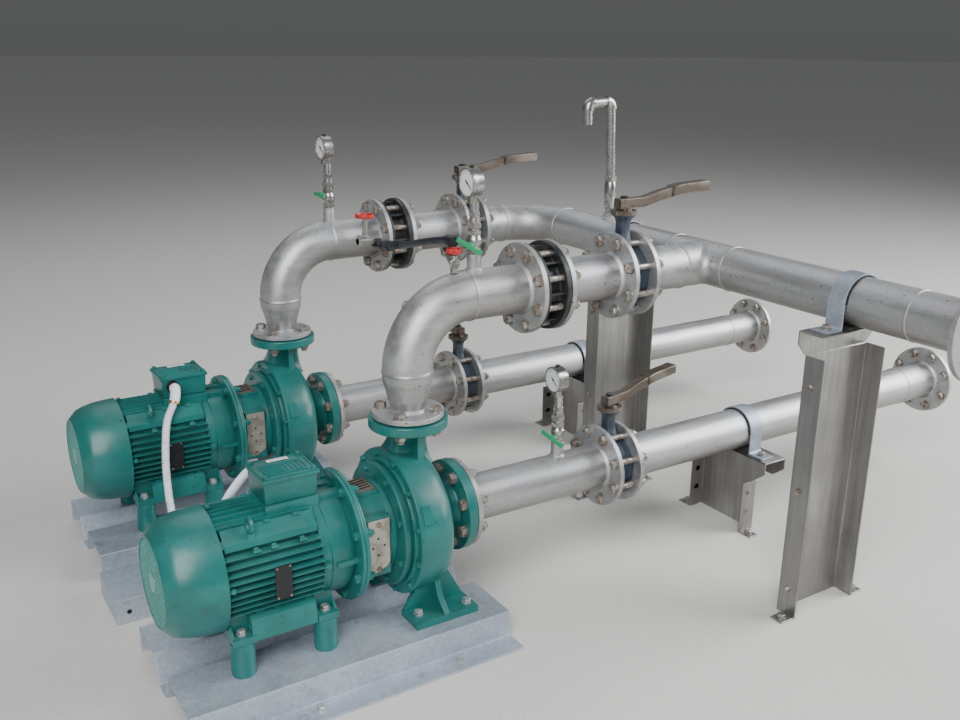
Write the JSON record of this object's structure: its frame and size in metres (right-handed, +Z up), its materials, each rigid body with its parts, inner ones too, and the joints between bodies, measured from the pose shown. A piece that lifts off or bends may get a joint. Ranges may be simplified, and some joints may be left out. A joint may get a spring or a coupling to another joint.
{
  "type": "duplex centrifugal pump set",
  "caption": "Close-coupled end-suction pumps on folded base plates, with flanged stainless suction and discharge lines, valves, gauges and one header on sheet supports.",
  "frame": {"origin": "on the floor, under the middle of the set's bounding box", "axes": "+X along the pump shafts from the fan ends to the suction ends, +Y from the near pump to the far pump, +Z up"},
  "size_m": [2.565, 1.8268, 1.1952],
  "materials": {
    "green_paint": "glossy teal-green machine paint over cast iron, slightly dusty and chipped at edges",
    "stainless_pipe": "pickled stainless pipe, warm grey satin with brighter weld seams and brown heat tint",
    "stainless_fitting": "turned stainless fittings, fine machining marks",
    "stainless_lever": "brown-stained bare steel lever",
    "stainless_sheet": "brownish-grey brushed folded sheet with water marks",
    "galvanised_sheet": "galvanised folded sheet, mottled light blue-grey",
    "galvanised_strap": "galvanised strap over a black rubber liner",
    "valve_coating": "dark blue-grey epoxy coating",
    "black_coating": "satin black coating",
    "green_plastic": "green moulded handle",
    "red_plastic": "red moulded handwheel",
    "black_plastic": "blue-black flexible pipe with black compression fittings",
    "white_plastic": "white corrugated conduit"
  },
  "bodies": {
    "pump_set": {"near_baseplate": "galvanised_sheet", "near_pump_casing": "green_paint", "near_lantern": "green_paint", "near_motor_frame": "green_paint", "near_fan_cowl": "green_paint", "near_terminal_box": "green_paint", "near_suction_spool": "stainless_pipe", "near_suction_valve": "valve_coating", "near_suction_gauge": "stainless_fitting", "near_suction_pipe": "stainless_pipe", "near_suction_stub": "stainless_pipe", "near_suction_support": "stainless_sheet", "near_suction_strap": "galvanised_strap", "near_discharge_bend": "stainless_pipe", "near_check_valve": "black_coating", "near_discharge_spool": "stainless_pipe", "near_discharge_valve": "valve_coating", "near_discharge_gauge": "stainless_fitting", "far_baseplate": "galvanised_sheet", "far_pump_casing": "green_paint", "far_lantern": "green_paint", "far_motor_frame": "green_paint", "far_fan_cowl": "green_paint", "far_terminal_box": "green_paint", "far_suction_spool": "stainless_pipe", "far_suction_valve": "valve_coating", "far_suction_gauge": "stainless_fitting", "far_suction_pipe": "stainless_pipe", "far_suction_stub": "stainless_pipe", "far_suction_support": "stainless_sheet", "far_suction_strap": "galvanised_strap", "far_discharge_bend": "stainless_pipe", "far_check_valve": "black_coating", "far_discharge_spool": "stainless_pipe", "far_discharge_valve": "valve_coating", "far_discharge_gauge": "stainless_fitting", "near_stop_valve": "stainless_fitting", "far_stop_valve": "stainless_fitting", "header": "stainless_pipe", "header_stub": "stainless_pipe", "vent_stack": "stainless_fitting", "front_support": "stainless_sheet", "front_strap": "galvanised_strap", "middle_support": "stainless_sheet", "middle_strap": "galvanised_strap", "cable_duct": "galvanised_sheet", "bypass_pipe": "black_plastic", "near_conduit": "white_plastic", "far_conduit": "white_plastic"},
    "near_suction_lever": {"near_suction_lever": "stainless_lever"},
    "near_discharge_lever": {"near_discharge_lever": "stainless_lever"},
    "near_suction_cock": {"near_suction_cock": "green_plastic"},
    "near_discharge_cock": {"near_discharge_cock": "green_plastic"},
    "far_suction_lever": {"far_suction_lever": "stainless_lever"},
    "far_discharge_lever": {"far_discharge_lever": "stainless_lever"},
    "far_suction_cock": {"far_suction_cock": "green_plastic"},
    "far_discharge_cock": {"far_discharge_cock": "green_plastic"},
    "near_handwheel": {"near_handwheel": "red_plastic"},
    "far_handwheel": {"far_handwheel": "red_plastic"}
  },
  "joints": [
    {"name": "near_suction_lever_turn", "type": "hinge", "parent": "pump_set", "child": "near_suction_lever", "pos_m": [-0.0735, -0.1234, 0.44], "axis": [0, 0, 1], "range_deg": [-12, 78]},
    {"name": "near_discharge_lever_turn", "type": "hinge", "parent": "pump_set", "child": "near_discharge_lever", "pos_m": [-0.0605, -0.1234, 0.95], "axis": [0, 0, 1], "range_deg": [0, 90]},
    {"name": "near_suction_cock_turn", "type": "hinge", "parent": "pump_set", "child": "near_suction_cock", "pos_m": [-0.26143, -0.13316, 0.386], "axis": [0.9135, 0.4067, 0], "range_deg": [-25, 65]},
    {"name": "near_discharge_cock_turn", "type": "hinge", "parent": "pump_set", "child": "near_discharge_cock", "pos_m": [-0.51316, -0.13717, 0.901], "axis": [0.8192, 0.5736, 0], "range_deg": [0, 65]},
    {"name": "far_suction_lever_turn", "type": "hinge", "parent": "pump_set", "child": "far_suction_lever", "pos_m": [-0.0735, 0.6406, 0.44], "axis": [0, 0, 1], "range_deg": [-90, 0]},
    {"name": "far_discharge_lever_turn", "type": "hinge", "parent": "pump_set", "child": "far_discharge_lever", "pos_m": [-0.0605, 0.6406, 0.95], "axis": [0, 0, 1], "range_deg": [0, 90]},
    {"name": "far_suction_cock_turn", "type": "hinge", "parent": "pump_set", "child": "far_suction_cock", "pos_m": [-0.2635, 0.6406, 0.407], "axis": [1, 0, 0], "range_deg": [0, 90]},
    {"name": "far_discharge_cock_turn", "type": "hinge", "parent": "pump_set", "child": "far_discharge_cock", "pos_m": [-0.5315, 0.6406, 0.917], "axis": [1, 0, 0], "range_deg": [0, 90]},
    {"name": "near_handwheel_turn", "type": "hinge", "parent": "pump_set", "child": "near_handwheel", "pos_m": [-0.5455, -0.1234, 0.888], "axis": [0, 0, 1], "range_deg": [-720, 0]},
    {"name": "far_handwheel_turn", "type": "hinge", "parent": "pump_set", "child": "far_handwheel", "pos_m": [-0.4435, 0.5416, 0.861], "axis": [0, 0, 1], "range_deg": [-720, 0]}
  ]
}
